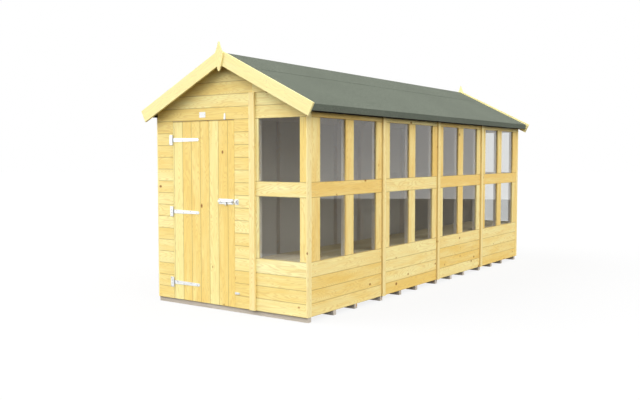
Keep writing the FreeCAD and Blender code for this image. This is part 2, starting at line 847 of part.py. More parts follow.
def button_screw(pivot):
    """Shank on the cladding, and a hexagonal head over the button."""
    place = on_end(-1)
    outward = place(0, -1, 0) - place(0, 0, 0)
    length = button_off_face + button_thickness + button_off_face
    shank = Part.makeCylinder(screw_radius, length, place(pivot[0], 0, pivot[1]), outward)
    corners = [math.radians(60 * corner) for corner in range(6)]
    outline = [(pivot[0] + screw_head_radius * math.cos(turn),
                pivot[1] + screw_head_radius * math.sin(turn)) for turn in corners]
    head = slab(place, outline, -length - screw_head_height, -length)
    return shank.fuse(head).removeSplitter().Solids[0]


def turn_buttons():
    clear = button_half_width + button_door_gap
    top_pivot = (door_right - button_latch_offset, door_top + clear)
    side_pivot = (door_right + clear, button_level)
    export("turn_button_top", [button_shape(top_pivot, (0, 1))])
    export("turn_button_side", [button_shape(side_pivot, (1, 0))])
    export("turn_button_screws", [button_screw(top_pivot), button_screw(side_pivot)])


os.makedirs("parts", exist_ok=True)
floor()
side_panes = []
for number in range(1, panels_per_side + 1):
    left_panel(number)
    side_panes += right_panel(number)
export("side_glazing", side_panes)
front_door_panel()
back_solid_panel()
export("end_glazing", end_window_panel(-1, "front") + end_window_panel(1, "back"))
gables()
cover_strips()
bench()
roof_frame()
roof_skin()
bargeboards()
finials()
door()
hinges()
bolt()
turn_buttons()
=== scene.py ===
import bpy
import bmesh
import math
import random
from functools import partial
from mathutils import Matrix, Vector


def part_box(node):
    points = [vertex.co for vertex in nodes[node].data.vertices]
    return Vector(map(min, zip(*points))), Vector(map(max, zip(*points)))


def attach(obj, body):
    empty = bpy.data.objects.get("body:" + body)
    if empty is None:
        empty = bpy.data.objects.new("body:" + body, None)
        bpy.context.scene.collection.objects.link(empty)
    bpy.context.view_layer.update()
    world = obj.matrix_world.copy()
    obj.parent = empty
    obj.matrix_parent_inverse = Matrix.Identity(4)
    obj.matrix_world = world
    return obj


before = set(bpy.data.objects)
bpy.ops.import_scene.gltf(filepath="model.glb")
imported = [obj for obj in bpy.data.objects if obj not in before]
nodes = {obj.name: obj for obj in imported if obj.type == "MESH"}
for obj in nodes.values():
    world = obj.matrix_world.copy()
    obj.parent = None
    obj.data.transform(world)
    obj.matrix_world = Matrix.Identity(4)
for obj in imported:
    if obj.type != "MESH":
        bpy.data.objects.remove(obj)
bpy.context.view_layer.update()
mm = 0.001
print("frame loaded with", len(nodes), "nodes")


def boxOf(nodeName):
    # lowest and highest corner of a node, in millimetres
    return [[round(v / mm, 3) for v in corner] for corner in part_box(nodeName)]


# what looks and fixings follow, read from the frame in millimetres
wallLow, wallHigh = boxOf("right_panel_1_cladding")
endLow, endHigh = boxOf("front_door_panel_cladding")
windowLow, windowHigh = boxOf("front_window_panel_trim")
doorLow, doorHigh = boxOf("door_boards")
base, sillTop = wallLow[2], wallHigh[2]
cover = (sillTop - base) / 3             # three boards lie below the panes
panel = boxOf("right_panel_2_cladding")[0][1] - wallLow[1]
panelEnds = 2 * panel                    # four panels, about the middle
endJoint = (endHigh[0] + windowLow[0]) / 2
sideFace, endFace = wallHigh[0], -endLow[1]
sideStrip, endStrip = boxOf("cover_strips")[1][:2]
feltEdge = boxOf("roof_felt_right")[0][2]
roofPitch = math.radians(26.5)


def hexColour(code):
    # sRGB hex to the linear colour that the sockets take
    parts = [int(code[i:i + 2], 16) / 255 for i in (1, 3, 5)]
    return tuple(p / 12.92 if p <= 0.04045 else ((p + 0.055) / 1.055) ** 2.4 for p in parts) + (1.0,)


def liveSocket(sockets, key):
    live = [s for s in sockets if s.enabled]
    return live[key] if isinstance(key, int) else next(s for s in live if s.name == key)


def addNode(tree, kind, settings=None, links=None):
    # a setting is a property of the node or, failing that, one of its sockets;
    # in MapRange nodes, sockets 1 and 2 are the range that comes in, 3 and 4 the range that goes out
    item = tree.nodes.new("ShaderNode" + kind)
    for key, value in (settings or {}).items():
        if key == "stops":
            ramp = item.color_ramp.elements
            while len(ramp) < len(value):
                ramp.new(1.0)
            for stop, (position, colour) in zip(ramp, value):
                stop.position = position
                stop.color = hexColour(colour)
        elif isinstance(key, str) and hasattr(item, key):
            setattr(item, key, value)
        else:
            liveSocket(item.inputs, key).default_value = value
    for key, source in (links or {}).items():
        socket = liveSocket(source.outputs, 0) if isinstance(source, bpy.types.Node) else source
        tree.links.new(socket, liveSocket(item.inputs, key))
    return item


def newMaterial(name):
    material = bpy.data.materials.new(name)
    material.use_nodes = True
    material.node_tree.nodes.clear()
    return material, partial(addNode, material.node_tree)


def wear(nodeNames, material):
    for name in nodeNames:
        slots = nodes[name].data.materials
        slots.clear()
        slots.append(material)


noiseLow, noiseHigh = 0.3, 0.7   # most of a noise lies between

# Slow-grown spruce, pressure treated and still new: a pale straw yellow with tan late-wood lines,
# small brown knots, and boards that differ a little from each other.
spruce = {
    "pale": "#FFF2AC",
    "deep": "#F5D67A",
    "lateWood": "#D9A850",
    "knotRim": "#C08A42",
    "knotCore": "#7A5222",
    # dust in the joints, and also the colour of the painted shade on the strips' side faces and along the
    # door's top
    "joint": "#9C763A",
    "sawnBack": "#DAD4C6",                 # backs of boards, sawn and dull, seen through the panes
    "toneSpread": 1.0,                     # how far boards differ
    "boardShift": (31.0, 17.0, 23.0),      # every board is cut from another part of the wood
    "streak": 0.36,                        # how far the tone drifts within a board
    "streakSize": (455 * mm, 62.5 * mm),   # along the grain and across it, as all sizes of patterns
    "streakNoise": {"Detail": 3.0, "Roughness": 0.55},
    "ringWidth": 9 * mm,                   # late-wood lines on a flat-sawn face
    "ringPatch": (1111 * mm, 111.1 * mm),  # the field whose contours they are
    "ringNoise": {"Detail": 2.0, "Roughness": 0.45, "Distortion": 0.25},
    "ringSlope": 0.035,                    # climb of the field from line to line
    "ringEdge": (-0.2, 1.0),               # soft sides of the lines
    "ringShare": 0.28,
    "fibreSize": (167 * mm, 2.4 * mm),     # a light and a dark fibre
    "fibreNoise": {"Detail": 3.0, "Roughness": 0.6},
    "fibreSpan": (0.25, 0.75),             # of the noise
    "fibreLight": (0.93, 1.05),
    "knotCell": 160 * mm,
    "knotSquash": 0.75,                    # fewer knots along the grain
    "knotRadius": 15 * mm,                 # the largest
    "knotLeast": 0.3,                      # the smallest, as a share of it
    "knotShare": 0.85,
    "rimReach": (0.85, 1.5),               # in radii of the knot
    "coreReach": (0.45, 0.95),
    "swirlReach": 4.0,
    "swirl": 0.05,                         # how far rings bend round a knot
    "jointWidth": 3.0 * mm,
    "jointFade": 3,                        # how far its shade reaches, in half widths
    "jointShade": 0.55,
    "roughness": 0.62,
    "roughSpread": 0.08,                   # late wood is smoother
    "ior": 1.45,
    "specular": 0.35,
    "relief": 0.4 * mm,
    "bump": 0.35,
    "ringRelief": 0.5,                     # beside the fibres
}


def countBoards(add, axis, spec):
    # which board along an axis, and how far through it
    shifted = add("Math", {"operation": "SUBTRACT", 1: spec["start"] * mm}, {0: axis[spec["axis"]]})
    steps = add("Math", {"operation": "DIVIDE", 1: spec["pitch"] * mm}, {0: shifted})
    count = add("Math", {"operation": "FLOOR"}, {0: steps})
    if "lowest" in spec:
        count = add("Math", {"operation": "MAXIMUM", 1: spec["lowest"]}, {0: count})
    count = add("Math", {"operation": "ADD", 1: spec.get("draw", 0)}, {0: count})
    return count, add("Math", {"operation": "FRACT"}, {0: steps})


def drawnOut(add, point, size):
    # the space of a pattern with cells of this size
    along, across = size
    return add("VectorMath", {"operation": "MULTIPLY", 1: (1 / along, 1 / across, 1 / across)}, {0: point})


def knotsAt(add, look, point):
    # how far the next knot is, in radii of that knot: round where a branch meets the face
    cell = look["knotCell"]
    knot = add("TexVoronoi", {"voronoi_dimensions": "3D", "Scale": 1.0, "Randomness": 1.0},
               {"Vector": drawnOut(add, point, (cell / look["knotSquash"], cell))})
    largest = look["knotRadius"] / cell
    knotSize = add("MapRange", {3: look["knotLeast"] * largest, 4: largest},
                   {0: add("SeparateColor", {}, {0: knot.outputs["Color"]})})
    return add("Math", {"operation": "DIVIDE"}, {0: knot.outputs["Distance"], 1: knotSize})


def ringsAt(add, look, point, knotReach):
    # late-wood lines: contours of a field drawn out along the grain and bent round the knots
    swirl = add("MapRange", {1: 0.0, 2: look["swirlReach"], 3: look["swirl"], 4: 0.0}, {0: knotReach})
    field = add("TexNoise", {"Scale": 1.0, **look["ringNoise"]},
                {"Vector": drawnOut(add, point, look["ringPatch"])})
    bent = add("Math", {"operation": "ADD"}, {0: field, 1: swirl})
    ringTurns = 2 * math.pi * look["ringSlope"] / look["ringWidth"] / look["ringPatch"][1]
    turned = add("Math", {"operation": "MULTIPLY", 1: ringTurns}, {0: bent})
    wave = add("Math", {"operation": "SINE"}, {0: turned})
    low, high = look["ringEdge"]
    return add("MapRange", {"interpolation_type": "SMOOTHSTEP", 1: low, 2: high, 3: 0.0, 4: 1.0}, {0: wave})


def grainAt(add, look, point):
    knotReach = knotsAt(add, look, point)
    fibres = add("TexNoise", {"Scale": 1.0, **look["fibreNoise"]},
                 {"Vector": drawnOut(add, point, look["fibreSize"])})
    blotch = add("TexNoise", {"Scale": 1.0, **look["streakNoise"]},
                 {"Vector": drawnOut(add, point, look["streakSize"])})
    (first, last), (low, high) = look["fibreSpan"], look["fibreLight"]
    fibreLight = add("MapRange", {1: first, 2: last, 3: low, 4: high}, {0: fibres})
    return {"knotReach": knotReach, "rings": ringsAt(add, look, point, knotReach),
            "fibres": fibres, "fibreLight": fibreLight, "blotch": blotch}


def boardColour(add, look, wood, boardDraw):
    # from the whole board down to its knots
    tone = add("MapRange", {3: 0.5 - look["toneSpread"] / 2, 4: 0.5 + look["toneSpread"] / 2}, {0: boardDraw})
    streak = add("MapRange", {1: noiseLow, 2: noiseHigh, 3: -look["streak"], 4: look["streak"]},
                 {0: wood["blotch"]})
    depth = add("Math", {"operation": "ADD", "use_clamp": True}, {0: tone, 1: streak})
    colour = add("Mix", {"data_type": "RGBA", "A": hexColour(look["pale"]), "B": hexColour(look["deep"])},
                 {"Factor": depth})
    ringShare = add("Math", {"operation": "MULTIPLY", 1: look["ringShare"]}, {0: wood["rings"]})
    colour = add("Mix", {"data_type": "RGBA", "B": hexColour(look["lateWood"])},
                 {"Factor": ringShare, "A": colour})
    colour = add("VectorMath", {"operation": "SCALE"}, {0: colour, "Scale": wood["fibreLight"]})
    for ring, reach in (("knotRim", "rimReach"), ("knotCore", "coreReach")):
        low, high = look[reach]
        share = add("MapRange", {"interpolation_type": "SMOOTHSTEP", 1: low, 2: high,
                                 3: look["knotShare"], 4: 0.0}, {0: wood["knotReach"]})
        colour = add("Mix", {"data_type": "RGBA", "B": hexColour(look[ring])}, {"Factor": share, "A": colour})
    return colour


def jointShade(add, look, colour, spec, spacing):
    # dust and shade where boards meet, and at both edges of a rail
    half = look["jointWidth"] * 0.5 / (spec["pitch"] * mm)
    fromEdge = add("Math", {"operation": "PINGPONG", 1: 0.5}, {0: spacing})
    if "share" in spec:
        fromTop = add("Math", {"operation": "SUBTRACT", 1: spec["share"]}, {0: spacing})
        fromTop = add("Math", {"operation": "ABSOLUTE"}, {0: fromTop})
        fromEdge = add("Math", {"operation": "MINIMUM"}, {0: fromEdge, 1: fromTop})
    groove = add("MapRange", {"interpolation_type": "SMOOTHSTEP", 1: half, 2: half * look["jointFade"],
                              3: look["jointShade"], 4: 0.0}, {0: fromEdge})
    return add("Mix", {"data_type": "RGBA", "B": hexColour(look["joint"])}, {"Factor": groove, "A": colour})


def sawnBacks(add, look, wood, colour, spec):
    # the sawn side of the boards, inside the shed
    within = []
    for letter in "xy":
        out = add("Math", {"operation": "ABSOLUTE"}, {0: wood["axis"][letter]})
        within.append(add("Math", {"operation": "LESS_THAN", 1: spec[letter] * mm}, {0: out}))
    isIn = add("Math", {"operation": "MULTIPLY"}, {0: within[0], 1: within[1]})
    sawn = add("VectorMath", {"operation": "SCALE", 0: hexColour(look["sawnBack"])[:3]},
               {"Scale": wood["fibreLight"]})
    return add("Mix", {"data_type": "RGBA"}, {"Factor": isIn, "A": colour, "B": sawn})


def paintedStripEdgeShade(add, look, wood, colour, spec):
    # painted shade: the side faces of the strips on the long walls are darkened, for the shade on them and in
    # the corners beside the boards
    fromMiddle = add("Math", {"operation": "PINGPONG", 1: 0.5}, {0: countBoards(add, wood["axis"], spec)[1]})
    onEdge = add("Math", {"operation": "COMPARE", 1: spec["at"] / spec["pitch"],
                          2: spec["wide"] / spec["pitch"]}, {0: fromMiddle})
    along = add("Math", {"operation": "ABSOLUTE"}, {0: wood["axis"][spec["axis"]]})
    offCorners = add("Math", {"operation": "LESS_THAN", 1: spec["within"] * mm}, {0: along})
    onEdge = add("Math", {"operation": "MULTIPLY"}, {0: onEdge, 1: offCorners})
    share = add("Math", {"operation": "MULTIPLY", 1: spec["share"]}, {0: onEdge})
    return add("Mix", {"data_type": "RGBA", "B": hexColour(look["joint"])}, {"Factor": share, "A": colour})


def paintedDoorTopShade(add, look, wood, colour, spec):
    # painted shade: the door boards darken towards their top edge, for the shadow in the gap under the header
    soaked = add("MapRange", {"interpolation_type": "SMOOTHSTEP", 1: (spec["at"] - spec["wide"]) * mm,
                              2: spec["at"] * mm, 3: 0.0, 4: spec["share"]}, {0: wood["axis"]["z"]})
    return add("Mix", {"data_type": "RGBA", "B": hexColour(look["joint"])}, {"Factor": soaked, "A": colour})


def paintedEaveShadow(add, look, wood, colour, spec):
    # painted shade: black where the long walls go up behind the felt's turned-down edge, standing in for the
    # shadow under the eaves
    gap = add("MapRange", {"interpolation_type": "SMOOTHSTEP", 1: spec["from"] * mm, 2: spec["full"] * mm,
                           3: 0.0, 4: spec["share"]}, {0: wood["axis"]["z"]})
    out = add("Math", {"operation": "ABSOLUTE"}, {0: wood["axis"]["x"]})
    onSide = add("Math", {"operation": "COMPARE", 1: spec["side"] * mm, 2: spec["within"] * mm}, {0: out})
    gap = add("Math", {"operation": "MULTIPLY"}, {0: gap, 1: onSide})
    return add("Mix", {"data_type": "RGBA", "B": hexColour(spec["colour"])}, {"Factor": gap, "A": colour})


def timberMaterial(name, look, grain, turn=None, rows=None, runs=None, rails=None, marks=()):
    look = {**spruce, **look}
    material, add = newMaterial(name)
    place = add("TexCoord").outputs["Object"]
    if turn:  # sloped boards: both halves are read as one, turned level
        place = add("VectorMath", {"operation": "ABSOLUTE"}, {0: place})
        place = add("VectorRotate", {"rotation_type": "Y_AXIS", "Angle": turn}, {"Vector": place})
    axis = dict(zip("xyz", add("SeparateXYZ", {}, {0: place}).outputs))

    def lengthways(order):
        return add("CombineXYZ", {}, {i: axis[letter] for i, letter in enumerate(order)})

    # one draw of tone for each board, counted by row, run and stile
    point = lengthways(grain)
    counts = {}
    if rows:
        counts[0], spacing = countBoards(add, axis, rows)
    if runs:
        counts[1] = countBoards(add, axis, runs)[0]
    if rails:
        railCount, spacing = countBoards(add, axis, rails)
        isRail = add("Math", {"operation": "LESS_THAN", 1: rails["share"]}, {0: spacing})
        point = add("Mix", {"data_type": "VECTOR"},
                    {"Factor": isRail, "A": point, "B": lengthways(rails["grain"])})
        stileCount = countBoards(add, axis, rails["stiles"])[0]
        counts[2] = add("Mix", {"B": 0.0}, {"Factor": isRail, "A": stileCount})
        counts[0] = add("Math", {"operation": "MULTIPLY_ADD", 1: 2.0}, {0: railCount, 2: isRail})
    board = add("TexWhiteNoise", {"noise_dimensions": "3D"}, {"Vector": add("CombineXYZ", {}, counts)})
    point = add("VectorMath", {"operation": "MULTIPLY_ADD", 1: look["boardShift"]},
                {0: board.outputs["Color"], 2: point})

    wood = {"axis": axis, **grainAt(add, look, point)}
    colour = boardColour(add, look, wood, board.outputs["Value"])
    if rows or rails:
        colour = jointShade(add, look, colour, rows or rails, spacing)
    for mark, spec in marks:
        colour = mark(add, look, wood, colour, spec)
    rough = add("MapRange", {3: look["roughness"] + look["roughSpread"],
                             4: look["roughness"] - look["roughSpread"]}, {0: wood["rings"]})
    height = add("Math", {"operation": "MULTIPLY_ADD", 1: look["ringRelief"]},
                 {0: wood["rings"], 2: wood["fibres"]})
    bump = add("Bump", {"Strength": look["bump"], "Distance": look["relief"]}, {"Height": height})
    surface = add("BsdfPrincipled", {"IOR": look["ior"], "Specular IOR Level": look["specular"]},
                  {"Base Color": colour, "Roughness": rough, "Normal": bump})
    add("OutputMaterial", {}, {"Surface": surface})
    return material


# Board runs in millimetres; "draw" picks another draw of board tones.
railHeight, railStep = 128, 6 * cover    # rails between the panes, and from rail to rail
roofStep = cover * math.cos(roofPitch)   # a roof board, measured level
firstBoard = 127                         # of the door, with no lap over it
wallRows = {"axis": "z", "start": base, "pitch": cover}
sidePanels = {"axis": "y", "start": -panelEnds, "pitch": panel}
endPanels = {"axis": "x", "start": endJoint - panel, "pitch": panel, "draw": 3}
railBand = {"axis": "z", "start": sillTop, "pitch": railStep, "share": railHeight / railStep}
sideStiles = {"axis": "y", "start": -panelEnds - panel / 8, "pitch": panel / 4, "draw": 579}
endStiles = {"axis": "x", "start": 0, "pitch": (windowLow[0] + windowHigh[0]) / 2, "draw": 1573}
stripRows = {"axis": "x", "start": -panel, "pitch": panel / 2}
doorRows = {"axis": "x", "start": doorLow[0] + firstBoard, "pitch": cover, "lowest": -1, "draw": 2941}
floorRows = {"axis": "x", "start": boxOf("floor_boards")[0][0], "pitch": cover}
benchRows = {"axis": "x", "start": boxOf("bench_boards")[1][0] - 5 * cover, "pitch": cover}
roofRows = {"axis": "x", "start": boxOf("roof_boards_right")[1][0] - 10 * roofStep, "pitch": roofStep}
bearerRuns = {"axis": "y", "start": -endFace, "pitch": 340}

# Marks by place, in millimetres too.
# further in than the middle of a board is its sawn back
boardBacks = {"x": (wallLow[0] + wallHigh[0]) / 2, "y": -(endLow[1] + endHigh[1]) / 2}
# painted shade on the side faces of the strips, measured from the middle of a strip
stripEdgeShade = {**sidePanels, "at": 30, "wide": 3, "within": panelEnds - 80, "share": 0.4}
# painted shade along the top of the door boards, for the shadow in the gap under the header
doorTopShade = {"at": doorHigh[2], "wide": 14, "share": 0.65}
# painted shade under the eaves: a black band along the top of the long walls, just below the felt's edge
eaveShade = {"from": feltEdge - 8, "full": feltEdge - 1, "side": (sideFace + sideStrip) / 2, "within": 22,
             "share": 0.95, "colour": "#0E0C07"}

sideCladding = timberMaterial("spruceSideBoards", {"pale": "#FFEEA8", "deep": "#F7D378"}, "yzx",
                              rows={**wallRows, "draw": 899}, runs={**sidePanels, "draw": 33},
                              marks=[(sawnBacks, boardBacks)])
endCladding = timberMaterial("spruceEndBoards", {"deep": "#F7DB85"}, "xzy",
                             rows={**wallRows, "draw": 603}, runs=endPanels, marks=[(sawnBacks, boardBacks)])
sideTrim = timberMaterial("spruceSideTrim", {"pale": "#FFEFAA", "deep": "#F6D27C"}, "zyx",
                          rails={**railBand, "draw": 134, "grain": "yzx", "stiles": sideStiles},
                          runs={**sidePanels, "draw": 3}, marks=[(paintedEaveShadow, eaveShade)])
endTrim = timberMaterial("spruceEndTrim", {"pale": "#FFF9BE", "deep": "#F8DC84"}, "zxy",
                         rails={**railBand, "draw": 40, "grain": "xzy", "stiles": endStiles})
stripTimber = timberMaterial("spruceStrips", {"pale": "#FFEFB0", "deep": "#FFE496"}, "zyx",
                             rows=stripRows, runs=sidePanels,
                             marks=[(paintedStripEdgeShade, stripEdgeShade), (paintedEaveShadow, eaveShade)])
doorTimber = timberMaterial("spruceDoorBoards",
                            {"pale": "#FFF1A6", "deep": "#F8D980", "toneSpread": 1.15}, "zxy",
                            rows=doorRows, marks=[(paintedDoorTopShade, doorTopShade)])
ledgeTimber = timberMaterial("spruceLedges", {}, "xzy")
# framing, floor, bench and roof boards: sawn and untreated, so greyer and duller than the outside
frameTimber = timberMaterial("sawnFraming",
                             {"pale": "#E2DDD4", "deep": "#D0C9BC", "knotRadius": 4 * mm}, "zyx",
                             runs=sidePanels)
# the fascias sit in the felt's turned-down edge and are coloured near black as painted shade, so that the top
# of the walls under the eaves stays dark
fasciaPaintedShade = timberMaterial("paintedShadeFascias",
                              {"pale": "#3A342C", "deep": "#2E2923", "lateWood": "#26221D"}, "yzx")
# planed smooth, with faint lines and hardly a knot
planed = {"pale": "#FFF4B4", "deep": "#FFEEA6", "ringShare": 0.12}
bargeTimber = timberMaterial("planedBargeboards", {**planed, "knotRadius": 4 * mm}, "xzy", turn=-roofPitch)
finialTimber = timberMaterial("planedFinials", {**planed, "knotRadius": 0.1 * mm}, "zxy")
floorTimber = timberMaterial("spruceFloor", {"pale": "#DED9D0", "deep": "#CAC3B6"}, "yxz", rows=floorRows)
benchTimber = timberMaterial("spruceBench", {"pale": "#D0C5A4", "deep": "#BBAD86"}, "yxz", rows=benchRows)
roofTimber = timberMaterial("spruceRoofBoards", {"pale": "#E4E0D9", "deep": "#D2CCC1"}, "yxz", rows=roofRows)
# bearers: deep treated against the wet, a flat grey brown
bearerTimber = timberMaterial("treatedBearers", {"pale": "#D8CFC2", "deep": "#BFB3A2", "lateWood": "#A39482"},
                              "xzy", runs=bearerRuns)
print("timber materials ready")

# Mineral felt: bitumen sheet under crushed slate, dull grey-green with a fine speckle.
feltLook = {
    "dark": "#50564C",
    "mid": "#60665B",
    "light": "#70766A",
    "grit": 4 * mm,           # drawn coarse to show
    "driftSize": 770 * mm,
    "driftNoise": {"Detail": 4.0, "Roughness": 0.6},
    "drift": (0.94, 1.06),
    "relief": 0.6 * mm,
    "bump": 0.5,
    "roughness": 0.95,
    "specular": 0.12,
}


def feltMaterial():
    look = feltLook
    material, add = newMaterial("mineralFelt")
    place = add("TexCoord").outputs["Object"]
    grit = add("TexVoronoi", {"Scale": 1 / look["grit"]}, {"Vector": place})
    speckle = add("ValToRGB", {"stops": [(0.0, look["dark"]), (0.5, look["mid"]), (1.0, look["light"])]},
                  {0: add("SeparateColor", {}, {0: grit.outputs["Color"]}).outputs[0]})
    drift = add("TexNoise", {"Scale": 1 / look["driftSize"], **look["driftNoise"]}, {"Vector": place})
    low, high = look["drift"]
    shade = add("MapRange", {1: noiseLow, 2: noiseHigh, 3: low, 4: high}, {0: drift})
    colour = add("VectorMath", {"operation": "SCALE"}, {0: speckle, "Scale": shade})
    bump = add("Bump", {"Strength": look["bump"], "Distance": look["relief"]},
               {"Height": grit.outputs["Distance"]})
    surface = add("BsdfPrincipled", {"Roughness": look["roughness"], "Specular IOR Level": look["specular"]},
                  {"Base Color": colour, "Normal": bump})
    add("OutputMaterial", {}, {"Surface": surface})
    return material


def driftColour(add, look):
    # a slow change between two colours, in patches of so many millimetres
    drift = add("TexNoise", {"Scale": 1 / (look["patch"] * mm), "Detail": look["detail"]},
                {"Vector": add("TexCoord").outputs["Object"]})
    stops = [(noiseLow, look["low"]), (noiseHigh, look["high"])]
    return drift, add("ValToRGB", {"stops": stops}, {0: drift})


# Bright zinc plate on pressed steel: near white, with a faint satin drift.
zincLook = {"low": "#C8CACB", "high": "#DADCDC", "patch": 16.7, "detail": 3.0, "roughness": (0.42, 0.55)}


def zincMaterial():
    material, add = newMaterial("brightZincSteel")
    drift, colour = driftColour(add, zincLook)
    low, high = zincLook["roughness"]
    rough = add("MapRange", {1: noiseLow, 2: noiseHigh, 3: low, 4: high}, {0: drift})
    surface = add("BsdfPrincipled", {"Metallic": 1.0}, {"Base Color": colour, "Roughness": rough})
    add("OutputMaterial", {}, {"Surface": surface})
    return material


# Float glass, 4 mm: clear with a slight grey cast, and a mirror for the sky at this slant.
glassLook = {"pane": "#ECEDEC", "clear": "#F4F5F5", "ior": 1.6}


def glassMaterial():
    material, add = newMaterial("floatGlass")
    paths = add("LightPath")
    passes = add("Math", {"operation": "MAXIMUM"},
                 {0: paths.outputs["Is Shadow Ray"], 1: paths.outputs["Is Diffuse Ray"]})
    clear = add("BsdfTransparent", {"Color": hexColour(glassLook["clear"])})
    pane = add("BsdfPrincipled", {"Base Color": hexColour(glassLook["pane"]), "Roughness": 0.0,
                                  "IOR": glassLook["ior"], "Transmission Weight": 1.0})
    both = add("MixShader", {}, {0: passes, 1: pane, 2: clear})   # light goes through, the eye sees a pane
    add("OutputMaterial", {}, {"Surface": both})
    return material


mineralFelt, zincSteel, floatGlass = feltMaterial(), zincMaterial(), glassMaterial()
panels = range(1, 5)
endWalls = ("front_door_panel", "front_window_panel", "back_solid_panel", "back_window_panel")
wear(["%s_panel_%d_cladding" % (side, p) for side in ("left", "right") for p in panels], sideCladding)
wear([wall + "_cladding" for wall in endWalls] + ["gable_cladding"], endCladding)
wear(["right_panel_%d_window_trim" % p for p in panels], sideTrim)
wear(["front_window_panel_trim", "back_window_panel_trim"], endTrim)
wear(["cover_strips"], stripTimber)
wear(["door_boards"], doorTimber)
wear(["door_ledges"], ledgeTimber)
wear([n for n in nodes if n.endswith("_frame")], frameTimber)
wear(["gable_frames", "roof_trusses", "roof_battens"], frameTimber)
wear(["eave_fascias"], fasciaPaintedShade)
wear(["bargeboards"], bargeTimber)
wear(["finials"], finialTimber)
wear(["floor_boards"], floorTimber)
wear(["bench_boards"], benchTimber)
wear(["roof_boards_left", "roof_boards_right"], roofTimber)
wear(["floor_bearers"], bearerTimber)
wear(["roof_felt_left", "roof_felt_right", "roof_felt_ridge"], mineralFelt)
wear(["side_glazing", "end_glazing"], floatGlass)
wear([n for n in nodes if n.startswith(("hinge_", "bolt_", "turn_button"))], zincSteel)
print("materials on all nodes")


def meshObject(name, bm):
    mesh = bpy.data.meshes.new(name)
    bm.to_mesh(mesh)
    bm.free()
    item = bpy.data.objects.new(name, mesh)
    bpy.context.scene.collection.objects.link(item)
    return item


def addPiece(name, bm, material, body):
    bmesh.ops.recalc_face_normals(bm, faces=bm.faces[:])
    item = meshObject(name, bm)
    item.data.materials.append(material)
    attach(item, body)


def facing(normal, place):
    # from a fixing's own upright to its place on a face, in millimetres
    turn = Vector(normal).to_track_quat("Z", "Y").to_matrix().to_4x4()
    return Matrix.Translation(Vector(place) * mm) @ turn


# Fixings of dull grey zinc: nails small and almost flush, screws a darker grey all over.
def fixingMaterial(name, look):
    material, add = newMaterial(name)
    colour = driftColour(add, look)[1]
    surface = add("BsdfPrincipled", {"Metallic": 1.0, "Roughness": look["roughness"]}, {"Base Color": colour})
    add("OutputMaterial", {}, {"Surface": surface})
    return material


# Nails: two through each board at a stud, driven by hand, so never quite in line; millimetres.
nailLook = {
    "radius": 1.8,
    "tipRadius": 1.4,
    "depth": 0.9,
    "sides": 8,
    "stray": 2.5,
    "inBoard": (28, 84),                  # up from a board's lower edge
    "trimAcross": (-532, 0, 532),         # from a stud
    "trimUp": (-38, 38),                  # from a rail's middle
    "cornerIn": 16,                       # from the end of an end wall
    "backStudIn": 589,
    "hingePostOut": 14.5,                 # from the door's edges
    "latchPostOut": 11.5,
    "hingeClear": 54,                     # no nail nearer to the ironmongery
    "boltClear": 34,
    "buttonClear": 66,
    "stripHeights": range(120, 1740, 250),
    "bargeDown": 64.622,                  # from the bargeboards' top, at the ridge
    "bargeAcross": (150, 340, 530, 720, 900),
    "bargeUp": (-28, 28),
    "doorAcross": (-24, 24),              # from a board's middle
    "ledgeUp": (-33, 33),                 # from a hinge's middle
    "low": "#8F8A7C",
    "high": "#ABA698",
    "patch": 2.5,
    "detail": 2.0,
    "roughness": 0.5,
}
galvanisedNails = fixingMaterial("galvanisedNails", nailLook)
stray = random.Random(14)


def addNails(name, body, places):
    bm = bmesh.new()
    for normal, place in places:
        shift = Vector([0 if n else stray.uniform(-1, 1) * nailLook["stray"] for n in normal])
        bmesh.ops.create_cone(bm, cap_ends=True, segments=nailLook["sides"], radius1=nailLook["radius"] * mm,
                              radius2=nailLook["tipRadius"] * mm, depth=nailLook["depth"] * mm,
                              matrix=facing(normal, Vector(place) + shift))
    addPiece(name, bm, galvanisedNails, body)


def nailHeights(boards):
    return [base + cover * n + up for n in boards for up in nailLook["inBoard"]]


def clearOf(heights, level, clear):
    return [z for z in heights if abs(z - level) > clear]


toLeft, toRight, toFront, toBack = (-1, 0, 0), (1, 0, 0), (0, -1, 0), (0, 1, 0)
bothSides, bothEnds = ((toLeft, -1), (toRight, 1)), ((toFront, -1), (toBack, 1))
studs = [panel * (n + 0.5) - panelEnds for n in range(4)]
railMiddles = [sillTop + railHeight / 2 + railStep * n for n in range(2)]
corner, backStud = windowHigh[0] - nailLook["cornerIn"], endLow[0] + nailLook["backStudIn"]
hingePost, latchPost = doorLow[0] - nailLook["hingePostOut"], doorHigh[0] + nailLook["latchPostOut"]
doorEdges = [doorLow[0]] + [doorRows["start"] + cover * n for n in range(6)] + [doorHigh[0]]
doorMiddles = [(left + right) / 2 for left, right in zip(doorEdges, doorEdges[1:])]
ridgeFace, ridgeTop = boxOf("bargeboards")[1][1:]
ridgeNails, fall = ridgeTop - nailLook["bargeDown"], math.tan(roofPitch)

# the ironmongery's levels
leafLow, leafHigh = boxOf("hinge_leaves")
leafHalf = 47.5   # half the height of a hinge leaf
hinges = leafLow[2] + leafHalf, (leafLow[2] + leafHigh[2]) / 2, leafHigh[2] - leafHalf
boltLow, boltHigh = boxOf("bolt_plate")
boltLevel = (boltLow[2] + boltHigh[2]) / 2
buttonLow, buttonHigh = boxOf("turn_button_side")
buttonLevel = (buttonLow[2] + buttonHigh[2]) / 2

# boards counted up from the floor
lowBoards, sillBoards, gableBoards = nailHeights(range(15)), nailHeights(range(3)), nailHeights((17, 18))
endBoards, windowBoards = nailHeights(range(17)), nailHeights((0, 1, 2, 15, 16))
besideHinges = lowBoards
for level in hinges:
    besideHinges = clearOf(besideHinges, level, nailLook["hingeClear"])
besideLatch = clearOf(lowBoards, boltLevel, nailLook["boltClear"])
besideLatch = clearOf(besideLatch, buttonLevel, nailLook["buttonClear"])

